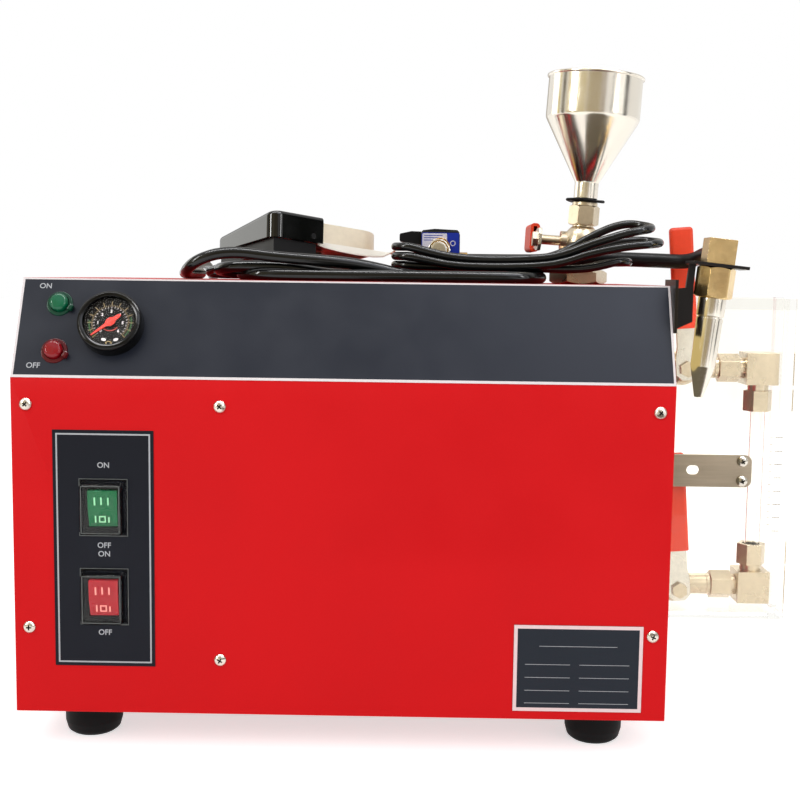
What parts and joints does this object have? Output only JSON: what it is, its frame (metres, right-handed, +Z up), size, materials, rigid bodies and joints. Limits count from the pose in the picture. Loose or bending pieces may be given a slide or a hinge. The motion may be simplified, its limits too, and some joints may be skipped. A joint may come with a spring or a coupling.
{
  "type": "jewelry steam cleaner",
  "caption": "Bench-top jewelry steam cleaner: sheet-steel boiler cabinet with sloping console, filling funnel on a ball valve, water-level gauge in a clear guard, steam nozzle and foot pedal.",
  "frame": {"origin": "on the floor under the middle of the outline, cords left out", "axes": "+X to the right as one faces the console, +Y to the back, +Z up"},
  "size_m": [0.522, 0.3462, 0.4548],
  "materials": {
    "red": "satin powder coat",
    "console_print": "printed film",
    "switch_print": "printed film",
    "zinc": "zinc plated",
    "rubber": "matt",
    "steel": "brushed",
    "black_plastic": "satin",
    "gloss_black": "gloss",
    "copper": "drawn copper",
    "brass": "machined",
    "dial": "printed",
    "clear": "clear",
    "pointer": "painted",
    "bezel": "gloss",
    "green_plastic": "gloss",
    "red_plastic": "gloss",
    "green_rocker": "gloss",
    "red_rocker": "gloss",
    "clear_boot": "clear, soft",
    "nickel": "nickel plated brass",
    "sleeve": "soft vinyl",
    "polished": "polished stainless steel",
    "glass": "clear",
    "acrylic": "clear acrylic",
    "black_steel": "satin black paint",
    "hose": "satin",
    "cord": "satin"
  },
  "bodies": {
    "cabinet": {"base_tray": "red", "boiler_tank": "steel", "button_bezels": "bezel", "cabinet_shell": "red", "console_label": "console_print", "cord_glands": "black_plastic", "fill_valve_body": "nickel", "front_panel": "red", "funnel": "polished", "funnel_gasket": "rubber", "gauge_case": "black_plastic", "gauge_dial": "dial", "gauge_elbows": "nickel", "gauge_guard": "acrylic", "gauge_lens": "clear", "gauge_nuts": "nickel", "gauge_pipe": "copper", "gauge_strap": "steel", "gauge_valve_bodies": "nickel", "heating_element": "steel", "nozzle_bracket": "black_steel", "nozzle_elbow": "nickel", "panel_screws": "zinc", "pedal_base": "black_plastic", "pedal_cord": "cord", "pedal_cord_hank": "cord", "pedal_cover": "gloss_black", "pedal_spring": "steel", "pipe_nuts": "nickel", "power_cord": "cord", "power_cord_hank": "cord", "power_plug": "black_plastic", "pressure_switch": "black_plastic", "rating_plate": "switch_print", "rubber_feet": "rubber", "safety_valve": "brass", "sight_glass": "glass", "solenoid_coil": "black_plastic", "solenoid_valve": "brass", "steam_hose": "hose", "steam_nozzle": "polished", "switch_boots": "clear_boot", "switch_housings": "black_plastic", "switch_label": "switch_print"},
    "steam_on": {"steam_on_button": "green_plastic"},
    "steam_off": {"steam_off_button": "red_plastic"},
    "pedal_rocker": {"pedal_switch_rocker": "green_rocker"},
    "power_rocker": {"power_switch_rocker": "red_rocker"},
    "pointer": {"gauge_pointer": "pointer"},
    "fill_handle": {"fill_valve_ball": "nickel", "fill_valve_lever": "zinc", "fill_lever_sleeve": "sleeve"},
    "upper_handle": {"upper_valve_ball": "nickel", "upper_valve_lever": "zinc", "upper_lever_sleeve": "sleeve"},
    "lower_handle": {"lower_valve_ball": "nickel", "lower_valve_lever": "zinc", "lower_lever_sleeve": "sleeve"},
    "tread": {"pedal_tread": "polished"},
    "plunger": {"solenoid_plunger": "steel"}
  },
  "joints": [
    {"name": "steam_on_press", "type": "slide", "parent": "cabinet", "child": "steam_on", "axis": [0, 0.9026, -0.4305], "range_m": [0, 0.003], "stiffness_N_per_m": 400},
    {"name": "steam_off_press", "type": "slide", "parent": "cabinet", "child": "steam_off", "axis": [0, 0.9026, -0.4305], "range_m": [0, 0.003], "stiffness_N_per_m": 400},
    {"name": "pedal_rocker_tilt", "type": "hinge", "parent": "cabinet", "child": "pedal_rocker", "pos_m": [-0.2026, -0.129, 0.161], "axis": [1, 0, 0], "range_deg": [-14, 0]},
    {"name": "power_rocker_tilt", "type": "hinge", "parent": "cabinet", "child": "power_rocker", "pos_m": [-0.2026, -0.129, 0.103], "axis": [1, 0, 0], "range_deg": [-14, 0]},
    {"name": "pressure_pointer", "type": "hinge", "parent": "cabinet", "child": "pointer", "pos_m": [-0.1995, -0.12091, 0.27833], "axis": [0, 0.9026, -0.4305], "range_deg": [0, 270]},
    {"name": "fill_valve_turn", "type": "hinge", "parent": "cabinet", "child": "fill_handle", "pos_m": [0.11333, -0.01, 0.33594], "axis": [0.9981, 0, -0.061], "range_deg": [0, 90]},
    {"name": "upper_valve_turn", "type": "hinge", "parent": "cabinet", "child": "upper_handle", "pos_m": [0.188, -0.01, 0.247], "axis": [0, 1, 0], "range_deg": [0, 90]},
    {"name": "lower_valve_turn", "type": "hinge", "parent": "cabinet", "child": "lower_handle", "pos_m": [0.188, -0.01, 0.087], "axis": [0, 1, 0], "range_deg": [0, 90]},
    {"name": "pedal_press", "type": "hinge", "parent": "cabinet", "child": "tread", "pos_m": [-0.10233, 0.00018, 0.33188], "axis": [-0.6157, 0.7758, -0.1382], "range_deg": [0, 6], "stiffness_Nm_per_rad": 6, "springref_deg": -2.86, "deforming": ["pedal_spring"]},
    {"name": "solenoid_stroke", "type": "slide", "parent": "cabinet", "child": "plunger", "axis": [0, 1, 0], "range_m": [0, 0.002], "stiffness_N_per_m": 500}
  ]
}
